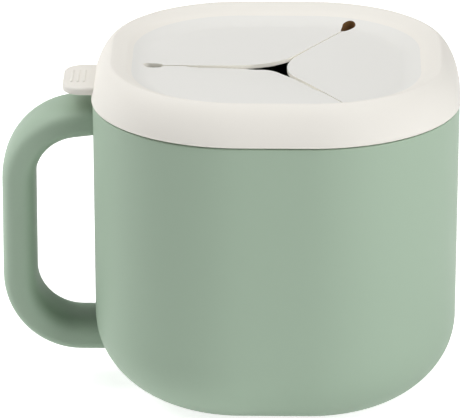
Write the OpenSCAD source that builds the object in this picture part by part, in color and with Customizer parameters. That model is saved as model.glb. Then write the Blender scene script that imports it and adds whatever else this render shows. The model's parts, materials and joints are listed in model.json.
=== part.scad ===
// Toddler snack cup: a rounded-square cup with a moulded D-shaped handle, and a
// soft lid whose recessed membrane is cut into three flaps for a small hand.
// Millimetres. Origin at the centre of the base, +Z up, handle towards -X.

/* [Cup] */
// Width across two opposite sides, at the seam under the lid
cup_w = 84; // [78:0.5:92]
// Corner radius of the rounded-square plan
corner_r = 34.2; // [32:0.1:37]
// Height of the seam between cup and lid
seam_z = 71.6; // [66:0.1:80]
// How far each side draws in from the seam down to the base rounding
side_draft = 0.3; // [0:0.05:0.8]
// Width of the large rounding between side and base
base_round_w = 23.9; // [18:0.1:25]
// Height of the large rounding between side and base
base_round_h = 20.6; // [15:0.1:24]
// Thickness of the side wall
wall = 3; // [2.6:0.1:3.6]
// Thickness of the floor
floor_t = 3; // [2:0.1:4]
// Height of the foot rim under the base
foot_h = 0.6; // [0.3:0.1:1]
// Width of the foot rim under the base
foot_w = 2.6; // [2:0.1:3.5]

/* [Neck] */
// Step back from the cup's side to the neck that the lid goes over
neck_step = 1.5; // [1.2:0.1:1.8]
// Height of the neck above the seam
neck_h = 5; // [4:0.1:5.5]
// Break on the neck's and the seam's edges
edge_break = 0.35; // [0.2:0.05:0.5]

/* [Handle] */
// How far the handle stands out from the cup's side
handle_reach = 21.4; // [19:0.1:30]
// Centre of the upper arm where it meets the cup, below the seam
upper_arm_drop = 5.8; // [5:0.1:12]
// Rise of the upper arm towards the cup, in degrees
upper_arm_rise = 7; // [0:0.5:10]
// Height of the lower arm's centre
lower_arm_z = 13.2; // [10:0.1:20]
// Radius of the two bends, at the bar's centre
bend_r = 14.3; // [9:0.1:15]
// Thickness of the bar, from finger side to outer side
bar_t = 7.8; // [6:0.1:9]
// Width of the bar
bar_w = 16.8; // [13:0.1:20]
// Radius of the bar's two edges
bar_edge_r = 3.2; // [2.5:0.1:3.6]

/* [Lid ring] */
// Height of the ring's crest above the seam
lid_h = 10; // [9:0.1:12]
// How far the ring stands proud of the cup's side
lid_proud = 0.35; // [0:0.05:0.8]
// Width of the soft roll, from the ring's side to its crest
roll_w = 7.2; // [6.5:0.1:8]
// Height of the soft roll
roll_h = 8.8; // [7:0.1:8.9]
// Width of the small rounding from the crest down into the recess
inner_edge_w = 1.15; // [0.8:0.05:2]
// Height of the small rounding from the crest down into the recess
inner_edge_h = 1.9; // [1:0.1:2.5]
// Width of the ring's lip inside the recess, up to the membrane
lip_w = 2; // [1:0.1:3]
// Thickness of the plug that goes inside the neck
plug_t = 2.2; // [1.5:0.1:3]
// Depth of the plug below the neck's top
plug_depth = 4; // [2:0.1:6]
// Gap at the seam, between cup and lid
seam_gap = 0.3; // [0.2:0.05:0.5]
// Gap between the neck and the lid's groove
fit_gap = 0.3; // [0.2:0.05:0.4]

/* [Pull tab] */
// How far the tab stands out from the ring
tab_reach = 6.6; // [5:0.1:9]
// Width of the tab
tab_w = 17.8; // [14:0.1:22]
// Thickness of the tab
tab_t = 1.5; // [1.2:0.1:2]
// Radius of the tab's two corners
tab_corner_r = 4.6; // [3:0.1:5]
// Height of the tab's underside above the seam
tab_rise = 1.2; // [0.8:0.1:2]

/* [Membrane] */
// Depth of the membrane below the ring's crest
recess_depth = 4.2; // [3.5:0.1:4.4]
// Width of the slope from the recess's edge down to the flat membrane
slope_w = 5.5; // [4.5:0.1:8]
// Thickness of the membrane
membrane_t = 1.6; // [1.2:0.1:2]

/* [Flaps] */
// Thickness of a flap
flap_t = 1.5; // [1:0.1:1.9]
// Width of the slits between the flaps
slit_gap = 0.4; // [0.3:0.05:0.6]
// Rounding of each flap's tip, which leaves the star-shaped hole
tip_r = 15.5; // [8:0.1:18]
// Membrane left between the recess's edge and the slit that points to the handle
margin_near = 3.6; // [3:0.1:4.2]
// Membrane left between the recess's edge and the two slits that point away
margin_far = 2; // [1.5:0.1:3]
// Width of the relief hole that ends each slit
relief_w = 3; // [2.6:0.1:3.4]
// Gap along a flap's bending line
bend_gap = 0.3; // [0.2:0.05:0.35]

/* [Hidden] */
$fn = 96;

// Plan of the cup: four short straight sides joined by four large corners
half_w = cup_w / 2;
corner_c = half_w - corner_r;
// Sections are swept this far inwards, and a square plate closes the middle
overlap = 2;
sweep_in = corner_r - overlap;
plate_half = half_w - sweep_in + overlap;

// Heights
neck_top = seam_z + neck_h;
crest_z = seam_z + lid_h;
recess_edge_z = crest_z - inner_edge_h;
membrane_z = crest_z - recess_depth;
bend_z = membrane_z - membrane_t / 2;
groove_z = neck_top + fit_gap;
plug_z = neck_top - plug_depth;
tab_z = seam_z + tab_rise;

// Distances from the cup's side, negative inwards
base_in = side_draft + base_round_w;
crest_x = lid_proud - roll_w;
recess_edge_x = crest_x - inner_edge_w;
lip_x = recess_edge_x - lip_w;
flat_x = recess_edge_x - slope_w;
skirt_x = fit_gap - neck_step;
plug_x = -wall - fit_gap;
plug_in_x = plug_x - plug_t;
plug_round = plug_t / 3;

// Slits: one towards the handle and two towards the far corners
leg_angle = [180, 300, 60];
leg_margin = [margin_near, margin_far, margin_far];
// A flap's corner lies this far inside the start of the slope
corner_inset = 0.4;
// The relief hole starts this far before the flap's corner, a little narrower
relief_lead = 0.3;
relief_taper = 0.87;
relief_inner_r = relief_taper * relief_w / 2;
// Cuts reach this far past the faces that they cut
past = 1;

// Points along an ellipse from angle a to angle b
function arc(centre, rx, ry, a, b, steps) =
    [for (i = [0:steps]) let (t = a + (b - a) * i / steps) centre + [rx * cos(t), ry * sin(t)]];
// A list of points without its first, which the list before it ends on
function rest(points) = [for (i = [1:len(points) - 1]) points[i]];
// Unit vector at an angle in the plan
function dir(angle) = [cos(angle), sin(angle)];
// Distance from the centre to the plan's outline, moved out by off, along a leg
function reach(angle, off) =
    let (a = abs(angle) % 90, k = corner_c * (cos(a) + sin(a)))
    a == 0 ? half_w + off
           : k + sqrt(k * k - 2 * corner_c * corner_c + pow(corner_r + off, 2));
// Smooth step down the recess's slope, t from 0 at its edge to 1 at the flat
function slope_z(t) = recess_edge_z - (recess_edge_z - membrane_z) * t * t * (3 - 2 * t);
function slope(t0, t1, steps) =
    [for (i = [0:steps]) let (t = t0 + (t1 - t0) * i / steps)
        [recess_edge_x - slope_w * t, slope_z(t)]];
function slit_end(leg) = reach(leg_angle[leg], recess_edge_x) - leg_margin[leg];
function flap_corner_r(leg) = reach(leg_angle[leg], flat_x) - corner_inset;
function flap_corner(leg) = flap_corner_r(leg) * dir(leg_angle[leg]);

// One side of the plan, swept with a section: x is out from the side, y is up
module side_sweep(quarter) {
    rotate(90 * quarter)
        translate([half_w, corner_c, 0])
            rotate([90, 0, 0])
                linear_extrude(2 * corner_c) children();
}

// One corner of the plan, swept with the same section
module corner_sweep(quarter) {
    rotate(90 * quarter)
        translate([corner_c, corner_c, 0])
            rotate_extrude(angle = 90)
                translate([corner_r, 0]) children();
}

// The section all round the plan
module around() {
    for (quarter = [0:3]) {
        side_sweep(quarter) children();
        corner_sweep(quarter) children();
    }
}

// Square plate that closes the middle of a swept floor or membrane
module middle_plate(z0, z1) {
    translate([-plate_half, -plate_half, z0])
        cube([2 * plate_half, 2 * plate_half, z1 - z0]);
}

// Inner face of the wall and floor, from the neck's top to the middle
function cup_inner_face() = concat(
    [[-wall, seam_z]],
    arc([-base_in, base_round_h], base_round_w - wall, base_round_h - floor_t, 0, -90, 20),
    [[-sweep_in, floor_t]]);

module cup_section() {
    polygon(concat(
        [[-sweep_in, foot_h], [-base_in - foot_w, foot_h], [-base_in - foot_w + foot_h, 0]],
        arc([-base_in, base_round_h], base_round_w, base_round_h, -90, 0, 24),
        [[0, seam_z - edge_break], [-edge_break, seam_z], [-neck_step, seam_z],
         [-neck_step, neck_top - edge_break], [-neck_step - edge_break, neck_top],
         [-wall + edge_break, neck_top], [-wall, neck_top - edge_break]],
        cup_inner_face()));
}

// The space inside the cup behind the handle, which the handle must not enter
module cup_space_section() {
    polygon(concat(cup_inner_face(), [[-sweep_in, seam_z]]));
}

// Oval of the handle's bar: two crowned faces joined by two rounded edges
module bar_section() {
    p = bar_w / 2 - bar_edge_r;
    h = bar_t / 2;
    crown_r = (p * p + h * h - bar_edge_r * bar_edge_r) / (2 * (h - bar_edge_r));
    crown_a = asin(p / (crown_r - bar_edge_r));
    polygon(concat(
        arc([h - crown_r, 0], crown_r, crown_r, -crown_a, crown_a, 8),
        arc([0, p], bar_edge_r, bar_edge_r, crown_a, 180 - crown_a, 10),
        arc([crown_r - h, 0], crown_r, crown_r, 180 - crown_a, 180 + crown_a, 8),
        arc([0, -p], bar_edge_r, bar_edge_r, 180 + crown_a, 360 - crown_a, 10)));
}

// A straight length of bar from a point in the XZ plane, along an angle above +X
module bar_straight(from, angle, length) {
    translate([from[0], 0, from[1]])
        rotate([0, 90 - angle, 0])
            linear_extrude(length) bar_section();
}

// A bend of the bar about a centre in the XZ plane, between two angles above +X
module bar_bend(centre, from_a, to_a) {
    translate([centre[0], 0, centre[1]])
        rotate([90, 0, 0])
            rotate_extrude(angle = to_a - from_a, start = from_a)
                translate([bend_r, 0]) bar_section();
}

module handle() {
    grip_x = -half_w - handle_reach + bar_t / 2;
    bend_x = grip_x + bend_r;
    // The upper arm leaves its bend here, and rises to meet the cup
    arm_a = 90 + upper_arm_rise;
    arm_x = bend_x + bend_r * cos(arm_a);
    arm_up = bend_r * sin(arm_a) + (-half_w - arm_x) * tan(upper_arm_rise);
    upper_z = seam_z - upper_arm_drop - arm_up;
    lower_z = lower_arm_z + bend_r;
    into_cup = base_round_w / 2;
    bar_bend([bend_x, upper_z], arm_a, 180);
    bar_bend([bend_x, lower_z], 180, 270);
    bar_straight([grip_x, lower_z], 90, upper_z - lower_z);
    bar_straight([arm_x, upper_z + bend_r * sin(arm_a)], upper_arm_rise,
                 (-half_w - arm_x) / cos(upper_arm_rise) + wall / 2);
    bar_straight([bend_x, lower_arm_z], 0, -half_w - bend_x + into_cup);
}

module cup() {
    color([0.62, 0.71, 0.63]) {
        around() cup_section();
        middle_plate(foot_h, floor_t);
        difference() {
            handle();
            side_sweep(2) cup_space_section();
            for (quarter = [1, 2])
                corner_sweep(quarter) cup_space_section();
        }
    }
}

module ring_section() {
    roll_z = crest_z - roll_h;
    skirt_z = seam_z + seam_gap;
    polygon(concat(
        [[skirt_x, skirt_z], [lid_proud - edge_break, skirt_z],
         [lid_proud, skirt_z + edge_break]],
        arc([crest_x, roll_z], roll_w, roll_h, 0, 90, 20),
        rest(arc([crest_x, recess_edge_z], inner_edge_w, inner_edge_h, 90, 180, 5)),
        rest(slope(0, lip_w / slope_w, 5)),
        [[lip_x, membrane_z], [plug_in_x, membrane_z]],
        arc([plug_in_x + plug_round, plug_z + plug_round], plug_round, plug_round, 180, 270, 4),
        arc([plug_x - plug_round, plug_z + plug_round], plug_round, plug_round, 270, 360, 4),
        [[plug_x, groove_z - edge_break], [plug_x + edge_break, groove_z],
         [skirt_x - edge_break, groove_z], [skirt_x, groove_z - edge_break]]));
}

// Edge of the tab: a thin plate's section with a fully rounded end
module tab_edge_section() {
    h = tab_t / 2;
    polygon(concat([[0, -h]], arc([tab_corner_r - h, 0], h, h, -90, 90, 8), [[0, h]]));
}

module pull_tab() {
    end_x = -half_w - lid_proud - tab_reach + tab_corner_r;
    root_x = -half_w - (lid_proud + skirt_x) / 2;
    corner_y = tab_w / 2 - tab_corner_r;
    mid_z = tab_z + tab_t / 2;
    for (s = [-1, 1]) {
        translate([end_x, s * corner_y, mid_z])
            rotate_extrude(angle = 90, start = s > 0 ? 90 : 180) tab_edge_section();
        translate([end_x, s * corner_y, mid_z])
            rotate([90, 0, 90])
                linear_extrude(root_x - end_x)
                    mirror([s > 0 ? 0 : 1, 0]) tab_edge_section();
    }
    translate([end_x, corner_y, mid_z])
        rotate([90, 0, 0])
            linear_extrude(2 * corner_y) mirror([1, 0]) tab_edge_section();
    translate([end_x, -corner_y, tab_z])
        cube([root_x - end_x, 2 * corner_y, tab_t]);
}

module lid_ring() {
    color([0.93, 0.91, 0.88]) {
        around() ring_section();
        pull_tab();
    }
}

module membrane_section() {
    under_z = membrane_z - membrane_t;
    polygon(concat(
        [[-sweep_in, under_z], [plug_in_x, under_z], [plug_in_x, membrane_z],
         [lip_x, membrane_z]],
        slope(lip_w / slope_w, 1, 6),
        [[-sweep_in, membrane_z]]));
}

// Relief hole at a slit's end: a long drop, wider at its outer end
module relief_hole(leg) {
    outer_r = relief_w / 2;
    x0 = flap_corner_r(leg) - relief_lead;
    x1 = slit_end(leg) - outer_r;
    rotate(leg_angle[leg])
        translate([0, 0, membrane_z - membrane_t - past])
            linear_extrude(crest_z - membrane_z + membrane_t + past) {
                translate([x0, 0]) circle(relief_inner_r);
                translate([x1, 0]) circle(outer_r);
                polygon([[x0, -relief_inner_r], [x1, -outer_r],
                         [x1, outer_r], [x0, relief_inner_r]]);
            }
}

// Round bar along the bending line between two slits' ends
module bend_line(leg_a, leg_b, r) {
    from = flap_corner(leg_a);
    to = flap_corner(leg_b);
    along = to - from;
    translate([from[0], from[1], bend_z])
        rotate([0, 90, atan2(along[1], along[0])])
            cylinder(h = norm(along), r = r);
}

module lid_membrane() {
    color([0.90, 0.90, 0.88])
        difference() {
            union() {
                around() membrane_section();
                middle_plate(membrane_z - membrane_t, membrane_z);
            }
            translate([0, 0, membrane_z - membrane_t - past])
                linear_extrude(membrane_t + 2 * past)
                    polygon([for (leg = [0:2]) flap_corner(leg)]);
            for (leg = [0:2]) {
                relief_hole(leg);
                bend_line(leg, (leg + 1) % 3, membrane_t / 2 + bend_gap);
            }
        }
}

// The flap between two slits, from its bending line to its rounded tip
module flap(leg_a, leg_b) {
    a = leg_angle[leg_a];
    b = leg_angle[leg_b];
    g = slit_gap / 2;
    // The tip's rounding is tangent to both slits
    tip_c = (g + tip_r) / sin(60) * dir(a + 60);
    color([0.90, 0.90, 0.88])
        difference() {
            union() {
                translate([0, 0, bend_z - flap_t / 2])
                    linear_extrude(flap_t)
                        polygon(concat(
                            [flap_corner(leg_a) + g * dir(a + 90),
                             flap_corner(leg_b) + g * dir(b - 90)],
                            arc(tip_c, tip_r, tip_r, a + 210, a + 270, 12)));
                bend_line(leg_a, leg_b, membrane_t / 2);
            }
            relief_hole(leg_a);
            relief_hole(leg_b);
        }
}

cup();
lid_ring();
lid_membrane();
flap(2, 0);  // flap_back
flap(0, 1);  // flap_front
flap(1, 2);  // flap_side
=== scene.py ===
# Toddler snack cup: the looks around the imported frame
import json
import math

import bmesh
import bpy
from mathutils import Matrix, Vector
from mathutils.geometry import intersect_line_line


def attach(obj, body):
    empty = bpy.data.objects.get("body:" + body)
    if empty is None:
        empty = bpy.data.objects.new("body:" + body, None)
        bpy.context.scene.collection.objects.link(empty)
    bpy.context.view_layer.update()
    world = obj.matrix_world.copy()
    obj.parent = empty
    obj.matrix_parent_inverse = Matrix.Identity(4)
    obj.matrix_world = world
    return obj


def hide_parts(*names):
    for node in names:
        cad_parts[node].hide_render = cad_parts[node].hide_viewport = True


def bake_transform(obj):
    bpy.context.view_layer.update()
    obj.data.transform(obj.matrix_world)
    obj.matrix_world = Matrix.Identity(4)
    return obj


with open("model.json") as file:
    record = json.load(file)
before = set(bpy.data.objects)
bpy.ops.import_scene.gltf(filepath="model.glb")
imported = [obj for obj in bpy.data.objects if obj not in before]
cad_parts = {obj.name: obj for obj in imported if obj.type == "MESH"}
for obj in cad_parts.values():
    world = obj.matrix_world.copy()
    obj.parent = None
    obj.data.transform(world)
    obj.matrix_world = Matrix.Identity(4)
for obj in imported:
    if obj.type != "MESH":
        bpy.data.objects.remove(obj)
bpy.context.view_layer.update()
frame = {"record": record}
print("frame loaded")

mm = 0.001  # every size below is in millimetres, and the scene is in metres
up = Vector((0, 0, 1))
smoothAngle = 35  # degrees, past which an edge stays sharp

# what still counts as the same place
tolerance = {
    "point": 0.002,  # two points of one outline
    "height": 0.01,
    "seam": 0.02,  # points where the handle was joined to the cup
    "place": 0.1,
}

# rounded-square plan that the cup and the lid share
plan = {
    "halfWidth": 42.0,
    "cornerRadius": 34.2,
    "cornerSteps": 28,  # faces round one corner
    "sideSteps": 4,  # faces along one straight side
    "openMiddle": 32.2,  # outlines end this far inside, and a flat face closes the middle
}
plan["centre"] = plan["halfWidth"] - plan["cornerRadius"]


# selects vertices, edges or faces by a test on their middle, in millimetres, and on the item itself
def pick(kind, test):
    bpy.ops.mesh.select_mode(type=kind)
    bpy.ops.mesh.select_all(action="DESELECT")
    mesh = bpy.context.object.data
    shape = bmesh.from_edit_mesh(mesh)
    if kind == "VERT":
        for vert in shape.verts:
            vert.select_set(bool(test(vert.co / mm, vert)))
    elif kind == "EDGE":
        for edge in shape.edges:
            edge.select_set(bool(test((edge.verts[0].co + edge.verts[1].co) / 2 / mm, edge)))
    else:
        for face in shape.faces:
            face.select_set(bool(test(face.calc_center_median() / mm, face)))
    bmesh.update_edit_mesh(mesh)


# moves what is selected along with a copy of it, in millimetres
def extrude(x=0.0, y=0.0, z=0.0):
    bpy.ops.mesh.extrude_region_move(TRANSFORM_OT_translate={"value": (x * mm, y * mm, z * mm)})


# sweeps what is selected round an axis, in degrees by the right-hand rule
def spin(steps, degrees, middle, axis):
    angle = math.radians(-degrees)  # the operator turns the other way
    bpy.ops.mesh.spin(steps=steps, angle=angle, center=Vector(middle) * mm, axis=axis)


# a plane shrunk to one vertex, drawn out from point to point
def drawOutline(name, points, closed=False):
    bpy.ops.object.select_all(action="DESELECT")
    bpy.ops.mesh.primitive_plane_add(size=mm, location=Vector(points[0]) * mm)
    piece = bpy.context.object
    piece.name = piece.data.name = name
    bpy.ops.object.transform_apply(location=True, rotation=False, scale=False)
    bpy.ops.object.mode_set(mode="EDIT")
    bpy.ops.mesh.select_mode(type="VERT")
    bpy.ops.mesh.select_all(action="SELECT")
    bpy.ops.mesh.merge(type="CENTER")
    path = list(points) + ([points[0]] if closed else [])
    for here, there in zip(path, path[1:]):
        extrude(*(Vector(there) - Vector(here)))
    bpy.ops.mesh.select_all(action="SELECT")
    if closed:
        bpy.ops.mesh.remove_doubles(threshold=tolerance["point"] * mm)
    return piece


# carries a drawn section round the four corners and along the four sides
def sweepPlan():
    centre = plan["centre"]
    for quarter in range(4):
        turn = Matrix.Rotation(math.radians(90) * quarter, 3, "Z")
        along = turn @ Vector((-2 * centre / plan["sideSteps"], 0, 0))
        spin(plan["cornerSteps"], 90, turn @ Vector((centre, centre, 0)), up)
        for _ in range(plan["sideSteps"]):
            extrude(*along)
    bpy.ops.mesh.select_all(action="SELECT")
    bpy.ops.mesh.remove_doubles(threshold=tolerance["point"] * mm)


# closes the open loop of edges at a height
def closeLoop(height):
    pick("EDGE", lambda at, edge: edge.is_boundary and abs(at.z - height) < tolerance["height"])
    bpy.ops.mesh.edge_face_add()


def turnOutwards():
    bpy.ops.mesh.select_all(action="SELECT")
    bpy.ops.mesh.normals_make_consistent(inside=False)


# a section point, out from the cup's side and up, as a point in the scene
def onPlan(points):
    return [(plan["halfWidth"] + x, plan["centre"], z) for x, z in points]


# points round an ellipse, with the angles in degrees from its first axis
def arc(middle, radii, fromAngle, toAngle, steps):
    points = []
    for i in range(steps + 1):
        turn = math.radians(fromAngle + (toAngle - fromAngle) * i / steps)
        points.append((middle[0] + radii[0] * math.cos(turn), middle[1] + radii[1] * math.sin(turn)))
    return points


# like arc, but a power under 2 makes it flatter than an ellipse and one over 2 makes it squarer
def powerArc(middle, radii, power, fromAngle, toAngle, steps):
    points = []
    for x, z in arc((0, 0), (1, 1), fromAngle, toAngle, steps):
        bentX, bentZ = [math.copysign(abs(part) ** (2 / power), part) for part in (x, z)]
        points.append((middle[0] + radii[0] * bentX, middle[1] + radii[1] * bentZ))
    return points


def combine(piece, other, operation):
    modifier = piece.modifiers.new("combine", "BOOLEAN")
    modifier.operation = operation
    modifier.solver = "EXACT"
    modifier.object = other
    bpy.context.view_layer.objects.active = piece
    bpy.ops.object.modifier_apply(modifier=modifier.name)


def copyOf(piece, name):
    twin = piece.copy()
    twin.data = piece.data.copy()
    twin.name = twin.data.name = name
    bpy.context.collection.objects.link(twin)
    return twin


def remove(piece):
    mesh = piece.data
    bpy.data.objects.remove(piece)
    bpy.data.meshes.remove(mesh)


def makeActive(piece):
    bpy.ops.object.select_all(action="DESELECT")
    piece.select_set(True)
    bpy.context.view_layer.objects.active = piece


def smooth(piece):
    makeActive(piece)
    bpy.ops.object.shade_smooth_by_angle(angle=math.radians(smoothAngle))
    modifier = piece.modifiers.new("weighted", "WEIGHTED_NORMAL")
    modifier.keep_sharp = True
    bpy.ops.object.modifier_apply(modifier=modifier.name)


def giveMaterials(piece, materials):
    piece.data.materials.clear()
    for material in materials:
        piece.data.materials.append(material)


# noises that the finishes share
noises = {
    "driftDetail": 3,
    "grainDetail": 4,
    "swellDetail": 1,
    "sheenDetail": 4,
    "sheenFrom": 0.3,  # the part of the noise that is spread from low to high roughness
    "sheenTo": 0.7,
}


# an empty node group with its sockets
def makeGroup(name, inputs, outputs):
    group = bpy.data.node_groups.new(name, "ShaderNodeTree")
    for label, kind, value in inputs:
        socket = group.interface.new_socket(name=label, in_out="INPUT", socket_type=kind)
        socket.default_value = value
    for label, kind in outputs:
        group.interface.new_socket(name=label, in_out="OUTPUT", socket_type=kind)
    return group, group.nodes.new("NodeGroupInput"), group.nodes.new("NodeGroupOutput")


# noise over the surface, in the piece's own coordinates
def addNoise(group, scale, detail):
    place = group.nodes.new("ShaderNodeTexCoord")
    noise = group.nodes.new("ShaderNodeTexNoise")
    noise.inputs["Detail"].default_value = detail
    group.links.new(place.outputs["Object"], noise.inputs["Vector"])
    group.links.new(scale, noise.inputs["Scale"])
    return noise.outputs["Fac"]


# colour that drifts a little over the surface, as pigment does in a moulding
def makePigmentDrift():
    group, given, result = makeGroup(
        "pigmentDrift",
        [
            ("Color", "NodeSocketColor", (0.5, 0.5, 0.5, 1)),
            ("Drift Color", "NodeSocketColor", (0.5, 0.5, 0.5, 1)),
            ("Scale", "NodeSocketFloat", 30.0),
            ("Amount", "NodeSocketFloat", 0.3),
        ],
        [("Color", "NodeSocketColor")],
    )
    nodes, links = group.nodes, group.links
    drift = addNoise(group, given.outputs["Scale"], noises["driftDetail"])
    amount = nodes.new("ShaderNodeMath")
    amount.operation = "MULTIPLY"
    mix = nodes.new("ShaderNodeMix")
    mix.data_type = "RGBA"
    links.new(drift, amount.inputs[0])
    links.new(given.outputs["Amount"], amount.inputs[1])
    links.new(amount.outputs[0], mix.inputs["Factor"])
    links.new(given.outputs["Color"], mix.inputs["A"])
    links.new(given.outputs["Drift Color"], mix.inputs["B"])
    links.new(mix.outputs["Result"], result.inputs["Color"])
    return group


# fine spark-eroded grain of the mould, with a slower swell under it
def makeMouldGrain():
    group, given, result = makeGroup(
        "mouldGrain",
        [
            ("Grain Scale", "NodeSocketFloat", 2500.0),
            ("Swell Scale", "NodeSocketFloat", 60.0),
            ("Swell Share", "NodeSocketFloat", 0.5),
        ],
        [("Height", "NodeSocketFloat")],
    )
    links = group.links
    grain = addNoise(group, given.outputs["Grain Scale"], noises["grainDetail"])
    swell = addNoise(group, given.outputs["Swell Scale"], noises["swellDetail"])
    mix = group.nodes.new("ShaderNodeMix")
    links.new(given.outputs["Swell Share"], mix.inputs["Factor"])
    links.new(grain, mix.inputs["A"])
    links.new(swell, mix.inputs["B"])
    links.new(mix.outputs["Result"], result.inputs["Height"])
    return group


# roughness that is a little lower where hands polish the surface
def makeHandledSheen():
    group, given, result = makeGroup(
        "handledSheen",
        [
            ("Low", "NodeSocketFloat", 0.4),
            ("High", "NodeSocketFloat", 0.5),
            ("Scale", "NodeSocketFloat", 40.0),
        ],
        [("Roughness", "NodeSocketFloat")],
    )
    links = group.links
    polish = addNoise(group, given.outputs["Scale"], noises["sheenDetail"])
    spread = group.nodes.new("ShaderNodeMapRange")
    spread.inputs["From Min"].default_value = noises["sheenFrom"]
    spread.inputs["From Max"].default_value = noises["sheenTo"]
    links.new(polish, spread.inputs["Value"])
    links.new(given.outputs["Low"], spread.inputs["To Min"])
    links.new(given.outputs["High"], spread.inputs["To Max"])
    links.new(spread.outputs["Result"], result.inputs["Roughness"])
    return group


pigmentDrift = makePigmentDrift()
mouldGrain = makeMouldGrain()
handledSheen = makeHandledSheen()


# an sRGB colour, 0 to 255, as the linear values that a shader takes
def srgb(red, green, blue):
    def linear(value):
        value /= 255
        return value / 12.92 if value <= 0.04045 else ((value + 0.055) / 1.055) ** 2.4

    return (linear(red), linear(green), linear(blue), 1)


def mouldedMaterial(finish):
    material = bpy.data.materials.new(finish["name"])
    material.use_nodes = True
    nodes, links = material.node_tree.nodes, material.node_tree.links
    shader = nodes["Principled BSDF"]
    shader.inputs["IOR"].default_value = finish["ior"]
    shader.inputs["Specular IOR Level"].default_value = finish["specular"]

    def place(group, **values):
        node = nodes.new("ShaderNodeGroup")
        node.node_tree = group
        for label, value in values.items():
            node.inputs[label.replace("_", " ")].default_value = value
        return node

    tint = place(
        pigmentDrift,
        Color=finish["color"],
        Drift_Color=finish["driftColor"],
        Scale=finish["driftScale"],
        Amount=finish["driftAmount"],
    )
    sheen = place(
        handledSheen,
        Low=finish["smooth"],
        High=finish["rough"],
        Scale=finish["sheenScale"],
    )
    grain = place(
        mouldGrain,
        Grain_Scale=finish["grainScale"],
        Swell_Scale=finish["swellScale"],
        Swell_Share=finish["swellShare"],
    )
    bump = nodes.new("ShaderNodeBump")
    bump.inputs["Strength"].default_value = finish["bumpStrength"]
    bump.inputs["Distance"].default_value = finish["bumpDepth"] * mm
    links.new(tint.outputs["Color"], shader.inputs["Base Color"])
    links.new(sheen.outputs["Roughness"], shader.inputs["Roughness"])
    links.new(grain.outputs["Height"], bump.inputs["Height"])
    links.new(bump.outputs["Normal"], shader.inputs["Normal"])
    return material


# a finish: noise scales are per metre, and its roughness wanders between smooth and rough
greenFinish = {
    "name": "sageGreenMoulding",
    "color": srgb(166, 186, 166),
    "driftColor": srgb(160, 182, 162),
    "driftScale": 14.0,
    "driftAmount": 0.35,
    "smooth": 0.5,
    "rough": 0.58,
    "sheenScale": 35.0,
    "grainScale": 2600.0,
    "swellScale": 45.0,
    "swellShare": 0.25,
    "bumpStrength": 0.25,
    "bumpDepth": 0.02,
    "ior": 1.5,
    "specular": 0.25,
}
ringFinish = {
    "name": "ivorySilicone",
    "color": srgb(239, 236, 229),
    "driftColor": srgb(236, 231, 222),
    "driftScale": 22.0,
    "driftAmount": 0.35,
    "smooth": 0.55,
    "rough": 0.65,
    "sheenScale": 30.0,
    "grainScale": 3200.0,
    "swellScale": 70.0,
    "swellShare": 0.3,
    "bumpStrength": 0.2,
    "bumpDepth": 0.02,
    "ior": 1.42,
    "specular": 0.3,
}
membraneFinish = dict(
    ringFinish,
    name="coolWhiteSilicone",
    color=srgb(233, 232, 228),
    driftColor=srgb(229, 228, 222),
    driftScale=30.0,
)
# cut faces are painted lighter and warmer, a painted glow of light through the thin silicone; the
# walls of the far relief holes are painted brown, as painted shade down in a small hole
cutEdgeGlowFinish = dict(
    membraneFinish,
    name="warmPaintedGlowCutEdge",
    color=srgb(248, 245, 235),
    driftColor=srgb(244, 240, 228),
    driftScale=60.0,
)
# brown painted shade for the walls of the two far relief holes
holeWallShadeFinish = dict(
    membraneFinish,
    name="brownPaintedShadeHoleWall",
    color=srgb(124, 92, 56),
    driftColor=srgb(108, 78, 44),
    driftScale=90.0,
    specular=0.2,
)

cup = {
    "seamHeight": 71.6,
    "wall": 3.0,
    "floor": 3.0,
    "draft": 0.3,  # the side leans in by this much, down to the rounding
    "baseWidth": 23.9,  # the large rounding between side and base
    "baseHeight": 20.6,
    "baseSteps": 30,
    "innerBaseSteps": 26,
    "footHeight": 0.6,  # the middle of the base is raised by this much
    "footWidth": 2.6,
    "neckStep": 1.5,  # the neck stands this far inside the side
    "neckHeight": 5.0,
    "edge": 0.35,
    "seamSteps": 4,  # faces round the edge at the seam
    "neckSteps": 3,  # and round each edge of the neck
    "sideRows": (28, 38, 48, 56, 64),  # heights of the points up the side
}


# the cup's section, from the foot up the side, over the neck and down to the floor inside
def cupOutline():
    seam, wall, edge = cup["seamHeight"], cup["wall"], cup["edge"]
    neckTop = seam + cup["neckHeight"]
    baseIn = cup["draft"] + cup["baseWidth"]
    side = [(-cup["draft"] * (seam - z) / (seam - cup["baseHeight"]), z) for z in cup["sideRows"]]
    middle = (-baseIn, cup["baseHeight"])
    outerRadii = (cup["baseWidth"], cup["baseHeight"])
    innerRadii = (cup["baseWidth"] - wall, cup["baseHeight"] - cup["floor"])
    return (
        [
            (-plan["openMiddle"], cup["footHeight"]),
            (-baseIn - cup["footWidth"], cup["footHeight"]),
            (-baseIn - cup["footWidth"] + cup["footHeight"], 0),
        ]
        + arc(middle, outerRadii, -90, 0, cup["baseSteps"])
        + side
        + arc((-edge, seam - edge), (edge, edge), 0, 90, cup["seamSteps"])
        + [(-cup["neckStep"], seam)]
        + arc((-cup["neckStep"] - edge, neckTop - edge), (edge, edge), 0, 90, cup["neckSteps"])
        + arc((-wall + edge, neckTop - edge), (edge, edge), 90, 180, cup["neckSteps"])
        + [(-wall, seam)]
        + arc(middle, innerRadii, 0, -90, cup["innerBaseSteps"])
        + [(-plan["openMiddle"], cup["floor"])]
    )


def makeCupShell():
    shell = drawOutline("cupMoulding", onPlan(cupOutline()))
    sweepPlan()
    closeLoop(cup["footHeight"])
    closeLoop(cup["floor"])
    turnOutwards()
    bpy.ops.object.mode_set(mode="OBJECT")
    return shell


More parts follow.
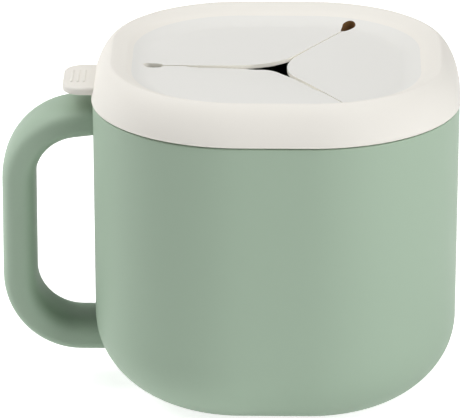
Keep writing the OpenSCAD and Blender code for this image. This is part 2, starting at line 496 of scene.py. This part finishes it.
handle = {
    "gripX": -59.5,  # centre line of the upright bar
    "bendRadius": 14.3,
    "upperBendZ": 51.0,
    "lowerBendZ": 27.5,
    "rise": 7.0,  # degrees, upper arm
    "thickness": 7.8,
    "width": 17.0,
    "squareness": 3.0,  # 2 is an ellipse, more is squarer
    "sectionPoints": 44,
    "bendSteps": 18,
    "barSteps": 4,
    "upperArmSteps": 3,
    "lowerArmSteps": 4,
    "armInside": 1.4,  # the upper arm ends this far inside the wall's face
    "lowerArmX": -33,  # the lower arm is drawn to here
    "lowerCut": (-37.8, 13.2),  # and then cut here, inside the wall
    "lowerCutNormal": (0.89, 0.456),
}


# points round the bar, where outward is the way from the bend's centre
def handleSection(middle, outward):
    half, side = handle["thickness"] / 2, handle["width"] / 2
    firstTurn = 180 / handle["sectionPoints"]
    outline = powerArc(
        (0, 0),
        (half, side),
        handle["squareness"],
        firstTurn,
        firstTurn + 360,
        handle["sectionPoints"],
    )
    return [middle + outward * out + Vector((0, aside, 0)) for out, aside in outline[:-1]]


def makeHandle():
    bendX = handle["gripX"] + handle["bendRadius"]
    armTurn = math.radians(90 + handle["rise"])
    outward = Vector((math.cos(armTurn), 0, math.sin(armTurn)))
    upperBend = Vector((bendX, 0, handle["upperBendZ"]))
    lowerBend = Vector((bendX, 0, handle["lowerBendZ"]))
    armStart = upperBend + outward * handle["bendRadius"]
    bar = drawOutline("handleBar", handleSection(armStart, outward), closed=True)
    spin(handle["bendSteps"], 90 - handle["rise"], upperBend, (0, -1, 0))
    for _ in range(handle["barSteps"]):
        extrude(z=(handle["lowerBendZ"] - handle["upperBendZ"]) / handle["barSteps"])
    spin(handle["bendSteps"], 90, lowerBend, (0, -1, 0))
    for _ in range(handle["lowerArmSteps"]):
        extrude(x=(handle["lowerArmX"] - bendX) / handle["lowerArmSteps"])
    pick("FACE", lambda at, face: at.x > bendX and at.z < handle["lowerBendZ"])
    cutX, cutZ = handle["lowerCut"]
    normalX, normalZ = handle["lowerCutNormal"]
    bpy.ops.mesh.bisect(
        plane_co=(cutX * mm, 0, cutZ * mm),
        plane_no=(normalX, 0, normalZ),
        use_fill=True,
        clear_outer=True,
    )
    pick("EDGE", lambda at, edge: edge.is_boundary and at.z > handle["upperBendZ"])
    armEnd = -plan["halfWidth"] + handle["armInside"]
    slope = math.tan(math.radians(handle["rise"]))
    run = (armEnd - armStart.x) / handle["upperArmSteps"]
    for _ in range(handle["upperArmSteps"]):
        extrude(x=run, z=run * slope)
    bpy.ops.mesh.edge_face_add()
    turnOutwards()
    bpy.ops.object.mode_set(mode="OBJECT")
    return bar


# the edge where the handle meets the wall gets the small rounding of a moulding
junction = {
    "width": 0.55,
    "segments": 3,
    "innermost": -36.5,  # edges outside these four places belong to something else
    "lowest": 4,
    "highest": 70.9,
    "halfWidth": 9,
    "bend": 35,  # degrees between the faces on both sides
}


def onJunction(at, edge):
    if len(edge.link_faces) != 2 or at.x > junction["innermost"] or abs(at.y) > junction["halfWidth"]:
        return False
    if at.z > junction["highest"] or at.z < junction["lowest"]:
        return False
    return edge.calc_face_angle(0) > math.radians(junction["bend"])


def roundJunction():
    bpy.ops.object.mode_set(mode="EDIT")
    bpy.ops.mesh.select_all(action="SELECT")
    bpy.ops.mesh.remove_doubles(threshold=tolerance["seam"] * mm)
    pick("EDGE", onJunction)
    bpy.ops.mesh.bevel(
        offset=junction["width"] * mm,
        segments=junction["segments"],
        clamp_overlap=True,
        loop_slide=True,
    )
    bpy.ops.object.mode_set(mode="OBJECT")


cupPiece = makeCupShell()
handlePiece = makeHandle()
combine(cupPiece, handlePiece, "UNION")
remove(handlePiece)
makeActive(cupPiece)
roundJunction()
smooth(cupPiece)
giveMaterials(cupPiece, [mouldedMaterial(greenFinish)])
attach(cupPiece, "cup")
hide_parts("cup")
print("cup and handle modelled")

lid = {
    "crest": 81.02,  # height of the ring's top
    "proud": 0.3,  # the ring stands out past the cup's side by this much
    "rollWidth": 4.63,
    "rollHeight": 9.63,
    "rollPower": 1.57,
    "rollStart": 9,  # degrees up the roll, where it leaves the skirt's bottom edge
    "rollSteps": 26,
    "crownWidth": 3.27,  # from the crest inwards to the edge of the recess
    "crownDrop": 1.22,
    "crownPower": 1.15,
    "crownSteps": 8,
    "slopeWidth": 5.9,
    "slopeStraight": 0.3,  # share of the slope before it turns level
    "slopeSteps": 10,  # on the membrane
    "lipWidth": 1.3,  # the part of the slope that belongs to the ring
    "lipSteps": 5,
    "membraneZ": 77.4,
    "membraneThickness": 0.95,
    "rootThickness": 1.9,  # near the ring
    "rootWidth": 1.5,
    "plugBottom": 72.6,
    "plugInner": -5.5,  # inner and outer places are counted outwards from the cup's side
    "plugOuter": -3.3,
    "plugParts": 3,  # the plug's corners take one of this many parts of its width
    "grooveTop": 76.9,
    "skirtInner": -1.2,
    "skirtBottom": 71.9,
    "edge": 0.35,
    "edgeSteps": 4,
}
lid["crestX"] = lid["proud"] - lid["rollWidth"]
lid["recessEdgeX"] = lid["crestX"] - lid["crownWidth"]
lid["recessEdgeZ"] = lid["crest"] - lid["crownDrop"]
lid["lipX"] = lid["recessEdgeX"] - lid["lipWidth"]


# the slope from the recess's edge down to the membrane, between two shares of its width
def recessSlope(fromShare, toShare, steps):
    straight = lid["slopeStraight"]
    points = []
    for i in range(steps + 1):
        share = fromShare + (toShare - fromShare) * i / steps
        level = max(0, share - straight) ** 2 / (1 - straight) / 2
        drop = (lid["recessEdgeZ"] - lid["membraneZ"]) * (share - level) * 2 / (1 + straight)
        points.append((lid["recessEdgeX"] - lid["slopeWidth"] * share, lid["recessEdgeZ"] - drop))
    return points


# the top of the ring, which falls a little from the crest to the edge of the recess
def ringCrown(steps):
    points = []
    for i in range(steps + 1):
        share = i / steps
        drop = lid["crownDrop"] * share ** lid["crownPower"]
        points.append((lid["crestX"] - lid["crownWidth"] * share, lid["crest"] - drop))
    return points


# the ring's section: skirt, roll, crown, lip, plug and the groove for the cup's neck
def ringOutline():
    edge, edgeSteps = lid["edge"], lid["edgeSteps"]
    plugRound = (lid["plugOuter"] - lid["plugInner"]) / lid["plugParts"]
    plugZ = lid["plugBottom"] + plugRound
    return (
        [(lid["skirtInner"], lid["skirtBottom"])]
        + arc((lid["proud"] - edge, lid["skirtBottom"] + edge), (edge, edge), -90, 0, edgeSteps)
        + powerArc(
            (lid["crestX"], lid["crest"] - lid["rollHeight"]),
            (lid["rollWidth"], lid["rollHeight"]),
            lid["rollPower"],
            lid["rollStart"],
            90,
            lid["rollSteps"],
        )
        + ringCrown(lid["crownSteps"])[1:]
        + recessSlope(0, lid["lipWidth"] / lid["slopeWidth"], lid["lipSteps"])[1:]
        + [(lid["lipX"], lid["membraneZ"]), (lid["plugInner"], lid["membraneZ"])]
        + arc((lid["plugInner"] + plugRound, plugZ), (plugRound, plugRound), 180, 270, edgeSteps)
        + arc((lid["plugOuter"] - plugRound, plugZ), (plugRound, plugRound), 270, 360, edgeSteps)
        + [(lid["plugOuter"], lid["grooveTop"]), (lid["skirtInner"], lid["grooveTop"])]
    )


tab = {
    "tip": -49.1,
    "root": -41.6,  # this end lies inside the ring
    "width": 17.8,
    "bottom": 72.9,
    "thickness": 1.85,
    "cornerRadius": 4.6,
    "cornerSegments": 14,
    "edge": 0.6,
    "edgeSegments": 4,
    "edgeBend": 57,  # degrees between the faces on both sides of an edge that is rounded
    "uprightRise": 0.5,  # an edge that climbs more than this is upright
    "ribs": (-47.0, -45.6, -44.2),
    "ribSize": (0.6, 8.6, 0.5),
    "ribRise": 0.2,
    "ribEdge": 0.14,
    "ribSegments": 3,
}


def makeBlock(name, lowest, highest):
    middle = (Vector(lowest) + Vector(highest)) / 2
    size = Vector(highest) - Vector(lowest)
    bpy.ops.object.select_all(action="DESELECT")
    bpy.ops.mesh.primitive_cube_add(size=1, location=middle * mm, scale=size * mm)
    block = bpy.context.object
    block.name = block.data.name = name
    bpy.ops.object.transform_apply(location=True, rotation=False, scale=True)
    bpy.ops.object.mode_set(mode="EDIT")
    return block


def makeTab():
    top = tab["bottom"] + tab["thickness"]
    half = tab["width"] / 2
    plate = makeBlock("pullTab", (tab["tip"], -half, tab["bottom"]), (tab["root"], half, top))

    def isUpright(edge):
        return abs((edge.verts[0].co - edge.verts[1].co).z) > tab["uprightRise"] * mm

    def isOuterEdge(at, edge):
        if at.x > tab["root"] - tolerance["place"] or isUpright(edge):
            return False
        return edge.calc_face_angle(0) > math.radians(tab["edgeBend"])

    pick("EDGE", lambda at, edge: at.x < tab["tip"] + tolerance["place"] and isUpright(edge))
    bpy.ops.mesh.bevel(
        offset=tab["cornerRadius"] * mm, segments=tab["cornerSegments"], clamp_overlap=False
    )
    pick("EDGE", isOuterEdge)
    bpy.ops.mesh.bevel(offset=tab["edge"] * mm, segments=tab["edgeSegments"], clamp_overlap=False)
    bpy.ops.object.mode_set(mode="OBJECT")
    wide, long, high = tab["ribSize"]
    ribTop = top + tab["ribRise"]
    ribBottom = ribTop - high
    for x in tab["ribs"]:
        lowest = (x - wide / 2, -long / 2, ribBottom)
        rib = makeBlock("gripRib", lowest, (x + wide / 2, long / 2, ribTop))
        pick("EDGE", lambda at, edge: at.z > ribBottom + tolerance["place"])
        bpy.ops.mesh.bevel(offset=tab["ribEdge"] * mm, segments=tab["ribSegments"])
        bpy.ops.object.mode_set(mode="OBJECT")
        combine(plate, rib, "UNION")
        remove(rib)
    return plate


ringPiece = drawOutline("lidRingSoft", onPlan(ringOutline()), closed=True)
sweepPlan()
turnOutwards()
bpy.ops.object.mode_set(mode="OBJECT")
tabPiece = makeTab()
combine(ringPiece, tabPiece, "UNION")
remove(tabPiece)
smooth(ringPiece)
giveMaterials(ringPiece, [mouldedMaterial(ringFinish)])
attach(ringPiece, "lid")
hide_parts("lid_ring")
print("lid ring and pull tab modelled")

slits = {
    "angles": (180, 300, 60),  # one towards the handle
    "gaps": (0.34, 0.26, 0.26),
    "holeStart": (26.0, 30.5, 30.5),  # where the slit runs into its relief hole
    "holeEnd": (30.6, 35.2, 35.2),
    "holeWidth": 3.2,
    "holeTaper": (0.9, 0.45, 0.45),  # width where the slit runs in, as a share
    "holeSteps": 12,
    "mouthFrom": 168,  # degrees round the hole's start where the slit's side meets it
    "mouthTo": 95,
    "mouthSteps": 5,
    "tipRadius": 15.0,
    "tipSteps": 20,
    "lipRound": 0.12,
    "lipSegments": 3,
    "paintedReach": 37.4,
    "uprightRise": 0.1,  # a face whose normal rises less than this is upright
    "wallRise": 0.5,  # and one below this is still part of a cut's wall
}
cutter = {"bottom": 70, "height": 15}  # stands out above and below the membrane
halfFlap = 60  # degrees from a flap's middle to the slit on either side

flaps = {
    "back": {"angle": 120, "sag": -0.15, "droop": 0.0},  # its tip stands up a little
    "front": {"angle": 240, "sag": 0.4, "droop": 0.4},
    "side": {"angle": 0, "sag": 0.3, "droop": 0.0},
}
flapForm = {
    "rows": 9,
    "rowPitch": 1.5,
    "columns": 8,  # on each side of the middle
    "columnPitch": 3.0,
    "bendWidth": 6.5,  # the flap curls over this width, inwards from its bending line
    "tipPlace": 2.7,  # out from the middle of the lid
    "tipReach": 1.2,
    "sagReach": 15.0,
    "droopReach": 4.2,
    "droopFrom": 1.5,  # the drooping part of a slit's edge, out from the middle
    "droopTo": 19.0,
    "droopAside": 0.5,
}
joints = {joint["name"]: joint for joint in frame["record"]["behaviour"]["joints"]}


# a point on a flap's bending line, and the line's direction
def bendingLine(side):
    joint = joints[f"flap_{side}_bend"]
    return Vector(joint["pos_m"]) / mm, Vector(joint["axis"])


# the outer corners of the flaps, where two bending lines cross
def flapCorners():
    corners = []
    sides = list(flaps)
    for side, nextSide in zip(sides, sides[1:] + sides[:1]):
        place, axis = bendingLine(side)
        nextPlace, nextAxis = bendingLine(nextSide)
        crossing = intersect_line_line(place, place + axis, nextPlace, nextPlace + nextAxis)
        corners.append(crossing[0].xy)
    return corners


# the membrane's section, thicker where it joins the ring
def membraneOutline():
    under = lid["membraneZ"] - lid["membraneThickness"]
    rootUnder = lid["membraneZ"] - lid["rootThickness"]
    flatX = lid["recessEdgeX"] - lid["slopeWidth"]
    return [
        (flatX, under),
        (flatX + lid["rootWidth"], rootUnder),
        (lid["plugInner"], rootUnder),
        (lid["plugInner"], lid["membraneZ"]),
        (lid["lipX"], lid["membraneZ"]),
    ] + recessSlope(lid["lipWidth"] / lid["slopeWidth"], 1, lid["slopeSteps"])


# a place seen from above, by its direction from the middle in degrees
def inPlan(angle, along, aside=0.0):
    turn = math.radians(angle)
    return (
        math.cos(turn) * along - math.sin(turn) * aside,
        math.sin(turn) * along + math.cos(turn) * aside,
    )


# outline of everything that is cut out: three slits, their relief holes and the star between the tips
def slitOutline():
    points = []
    for leg, angle in enumerate(slits["angles"]):
        half = slits["gaps"][leg] / 2
        outer = slits["holeWidth"] / 2
        inner = outer * slits["holeTaper"][leg]
        first = slits["holeStart"][leg] + inner
        last = slits["holeEnd"][leg] - outer
        # this leg, from its right side round the hole to its left side, seen outwards
        mouth = arc(
            (first, 0), (inner, -inner), slits["mouthFrom"], slits["mouthTo"], slits["mouthSteps"]
        )
        hole = mouth + arc((last, 0), (outer, outer), -90, 90, slits["holeSteps"])
        hole += [(x, -y) for x, y in reversed(mouth)]
        points += [inPlan(angle, x, y) for x, y in hole]
        # the rounded tip of the flap that follows, tangent to both slits
        radius = slits["tipRadius"]
        centre = inPlan(angle + halfFlap, (half + radius) / math.sin(math.radians(halfFlap)))
        inward = angle + halfFlap + 180
        spread = 90 - halfFlap
        points += arc(centre, (radius, radius), inward + spread, inward - spread, slits["tipSteps"])
    return points


# an upright block that cuts the membrane to this outline
def makePrism(name, points):
    prism = drawOutline(name, [(x, y, cutter["bottom"]) for x, y in points], closed=True)
    bpy.ops.mesh.edge_face_add()
    extrude(z=cutter["height"])
    turnOutwards()
    bpy.ops.object.mode_set(mode="OBJECT")
    return prism


membranePiece = drawOutline("membraneSheet", onPlan(membraneOutline()))
sweepPlan()
closeLoop(lid["membraneZ"] - lid["membraneThickness"])
closeLoop(lid["membraneZ"])
turnOutwards()
bpy.ops.object.mode_set(mode="OBJECT")
slitCutter = makePrism("slitCutter", slitOutline())
combine(membranePiece, slitCutter, "DIFFERENCE")
remove(slitCutter)

# the cut's upper edges are softly rounded
makeActive(membranePiece)
bpy.ops.object.mode_set(mode="EDIT")


def isCutEdge(at, edge):
    lowest = lid["membraneZ"] - tolerance["place"]
    if len(edge.link_faces) != 2 or at.z < lowest or at.xy.length > max(slits["holeEnd"]):
        return False
    rise = sorted(abs(face.normal.z) for face in edge.link_faces)
    return rise[0] < slits["uprightRise"] and rise[1] > slits["wallRise"]


pick("EDGE", isCutEdge)
bpy.ops.mesh.bevel(offset=slits["lipRound"] * mm, segments=slits["lipSegments"], clamp_overlap=True)
bpy.ops.object.mode_set(mode="OBJECT")

flapBlank = copyOf(membranePiece, "flapBlank")
flapPrism = makePrism("flapPrism", flapCorners())
combine(membranePiece, flapPrism, "DIFFERENCE")
combine(flapBlank, flapPrism, "INTERSECT")
remove(flapPrism)
makeActive(flapBlank)
bpy.ops.object.mode_set(mode="EDIT")
bpy.ops.mesh.select_all(action="SELECT")
bpy.ops.mesh.separate(type="LOOSE")
bpy.ops.object.mode_set(mode="OBJECT")
flapBlanks = list(bpy.context.selected_objects)
print("membrane cut into", len(flapBlanks), "flaps")

sheetMaterials = [mouldedMaterial(finish) for finish in (membraneFinish, cutEdgeGlowFinish, holeWallShadeFinish)]


# the sheet's own colour, cut faces with a painted glow of light through the silicone, and brown
# painted shade on the walls of the two far relief holes
def paintSheet(piece):
    giveMaterials(piece, sheetMaterials)
    for face in piece.data.polygons:
        face.material_index = 0
        reach = face.center.xy.length / mm
        if abs(face.normal.z) < slits["wallRise"] and reach < slits["paintedReach"]:
            # walls of the far relief holes take the painted shade, all other cut faces the painted
            # glow of light through the silicone
            inShadedFarHole = face.center.x > 0 and reach > slits["holeStart"][1]
            face.material_index = 2 if inShadedFarHole else 1


smooth(membranePiece)
paintSheet(membranePiece)
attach(membranePiece, "lid")
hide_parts("lid_membrane")


# true along the two slits beside the flap that points this way
def onSlit(at, angle):
    for slitAngle in (angle - halfFlap, angle + halfFlap):
        along = at.xy.dot(Vector(inPlan(slitAngle, 1)))
        aside = abs(at.xy.dot(Vector(inPlan(slitAngle, 0, 1))))
        if flapForm["droopFrom"] < along < flapForm["droopTo"] and aside < flapForm["droopAside"]:
            return True
    return False


# cuts rows and columns into a flap, so that it can curl
def cutRows(place, axis, inwards):
    cuts = [(inwards, flapForm["rowPitch"] * (i + 1)) for i in range(flapForm["rows"])]
    for way in (1, -1):
        cuts += [(axis, way * flapForm["columnPitch"] * (i + 0.5)) for i in range(flapForm["columns"])]
    for across, shift in cuts:
        bpy.ops.mesh.select_all(action="SELECT")
        bpy.ops.mesh.bisect(plane_co=(place + across * shift) * mm, plane_no=across)


# lowers what is selected, and what is near it less and less; a negative depth lifts it
def sink(depth, reach):
    bpy.ops.transform.translate(
        value=(0, 0, -depth * mm),
        use_proportional_edit=True,
        proportional_edit_falloff="SMOOTH",
        proportional_size=reach * mm,
    )


for blank in flapBlanks:
    vertices = blank.data.vertices
    middle = sum((vertex.co for vertex in vertices), Vector()) / len(vertices)
    side = max(flaps, key=lambda name: Vector(inPlan(flaps[name]["angle"], 1)).dot(middle.xy))
    flap = flaps[side]
    blank.name = blank.data.name = f"flap{side.capitalize()}Sheet"
    hinge, axis = bendingLine(side)
    inwards = axis.cross(up)
    makeActive(blank)
    bpy.ops.object.mode_set(mode="EDIT")
    cutRows(hinge, axis, inwards)
    tip = Vector(inPlan(flap["angle"], flapForm["tipPlace"]))
    pick("VERT", lambda at, vertex: (at.xy - tip).length < flapForm["tipReach"])
    sink(flap["sag"], flapForm["sagReach"])
    if flap["droop"]:
        pick("VERT", lambda at, vertex: onSlit(at, flap["angle"]))
        sink(flap["droop"], flapForm["droopReach"])
    bpy.ops.object.mode_set(mode="OBJECT")
    smooth(blank)
    paintSheet(blank)
    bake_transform(blank)
    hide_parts(f"flap_{side}")
print("flaps modelled")

stage = {
    "floorSize": 3000,
    "floorColor": 0.85,
    "floorBounce": 0.14,  # light that the floor adds below the object
    "floorGlow": 0.76,  # the same where the camera and reflections see the floor
    "worldLight": 0.0,  # light from all round
    "target": Vector((-10.673, 0, 42.37)),
    "camera": Vector((6.36, -1079.444, 433.718)),
    "lens": 386.75,
    "sensor": 36,
    "viewDepth": 20000,
}


# 1 for rays that come from the camera, from a glossy surface or through a clear one
def backdropRays(nodes, links):
    seen = nodes.new("ShaderNodeLightPath")
    total = seen.outputs["Is Camera Ray"]
    for kind in ("Is Glossy Ray", "Is Transmission Ray"):
        either = nodes.new("ShaderNodeMath")
        either.operation = "MAXIMUM"
        links.new(total, either.inputs[0])
        links.new(seen.outputs[kind], either.inputs[1])
        total = either.outputs[0]
    return total


bpy.ops.object.select_all(action="DESELECT")
bpy.ops.mesh.primitive_plane_add(size=stage["floorSize"] * mm, location=(0, 0, 0))
floor = bpy.context.object
floor.name = floor.data.name = "studioFloor"
floorMaterial = bpy.data.materials.new("paleFloor")
floorMaterial.use_nodes = True
nodes, links = floorMaterial.node_tree.nodes, floorMaterial.node_tree.links
paint = nodes["Principled BSDF"]
grey = stage["floorColor"]
paint.inputs["Base Color"].default_value = (grey, grey, grey, 1)
paint.inputs["Roughness"].default_value = 1.0  # quite matt
paint.inputs["Specular IOR Level"].default_value = 0.0
chosen = nodes.new("ShaderNodeMixShader")
both = nodes.new("ShaderNodeAddShader")
for slotIndex, strength in ((1, stage["floorBounce"]), (2, stage["floorGlow"])):
    glow = nodes.new("ShaderNodeEmission")
    glow.inputs["Strength"].default_value = strength
    links.new(glow.outputs[0], chosen.inputs[slotIndex])
links.new(backdropRays(nodes, links), chosen.inputs[0])
links.new(chosen.outputs[0], both.inputs[0])
links.new(paint.outputs[0], both.inputs[1])
links.new(both.outputs[0], nodes["Material Output"].inputs["Surface"])
floor.data.materials.append(floorMaterial)

world = bpy.data.worlds.new("studioWorld")
bpy.context.scene.world = world
world.use_nodes = True
nodes, links = world.node_tree.nodes, world.node_tree.links
nodes.clear()
surround = nodes.new("ShaderNodeBackground")
surround.inputs["Strength"].default_value = stage["worldLight"]
backdrop = nodes.new("ShaderNodeBackground")
chosen = nodes.new("ShaderNodeMixShader")
output = nodes.new("ShaderNodeOutputWorld")
for background in (surround, backdrop):
    background.inputs["Color"].default_value = (1, 1, 1, 1)
links.new(backdropRays(nodes, links), chosen.inputs[0])
links.new(surround.outputs[0], chosen.inputs[1])
links.new(backdrop.outputs[0], chosen.inputs[2])
links.new(chosen.outputs[0], output.inputs["Surface"])

# softboxes: bearing is degrees to the right of the camera's side, and height is degrees up
softboxes = {
    "keyLow": {"bearing": 50, "height": 15, "power": 4.25},
    "keyHigh": {"bearing": 50, "height": 45, "power": 4.35},
    "sideLeft": {"bearing": -90, "height": 45, "power": 4.5},
    "backLeftLow": {"bearing": -110, "height": 10, "power": 2.85},
    "backLeftHigh": {"bearing": -110, "height": 60, "power": 2.6},
    "overhead": {"bearing": 0, "height": 88, "power": 1.45},
}
softboxForm = {
    "size": 500,
    "distance": 1100,
    "aim": Vector((0, 0, 45)),
}
for name, box in softboxes.items():
    bearing, height = math.radians(box["bearing"]), math.radians(box["height"])
    direction = Vector((
        math.sin(bearing) * math.cos(height),
        -math.cos(bearing) * math.cos(height),
        math.sin(height),
    ))
    light = bpy.data.lights.new(name, "AREA")
    light.shape = "SQUARE"
    light.size = softboxForm["size"] * mm
    light.energy = box["power"]
    lamp = bpy.data.objects.new(name, light)
    lamp.location = (softboxForm["aim"] + direction * softboxForm["distance"]) * mm
    lamp.rotation_euler = direction.to_track_quat("Z", "Y").to_euler()
    lamp.visible_camera = False
    bpy.context.collection.objects.link(lamp)

camera = bpy.data.cameras.new("photoCamera")
camera.sensor_fit = "HORIZONTAL"
camera.sensor_width = stage["sensor"]
camera.lens = stage["lens"]
camera.clip_end = stage["viewDepth"] * mm
viewer = bpy.data.objects.new("photoCamera", camera)
viewer.location = stage["camera"] * mm
towards = stage["target"] - stage["camera"]
viewer.rotation_euler = towards.to_track_quat("-Z", "Y").to_euler()
bpy.context.collection.objects.link(viewer)
bpy.context.scene.camera = viewer
bpy.context.scene.view_settings.view_transform = "Standard"
print("stage, lights and camera placed")
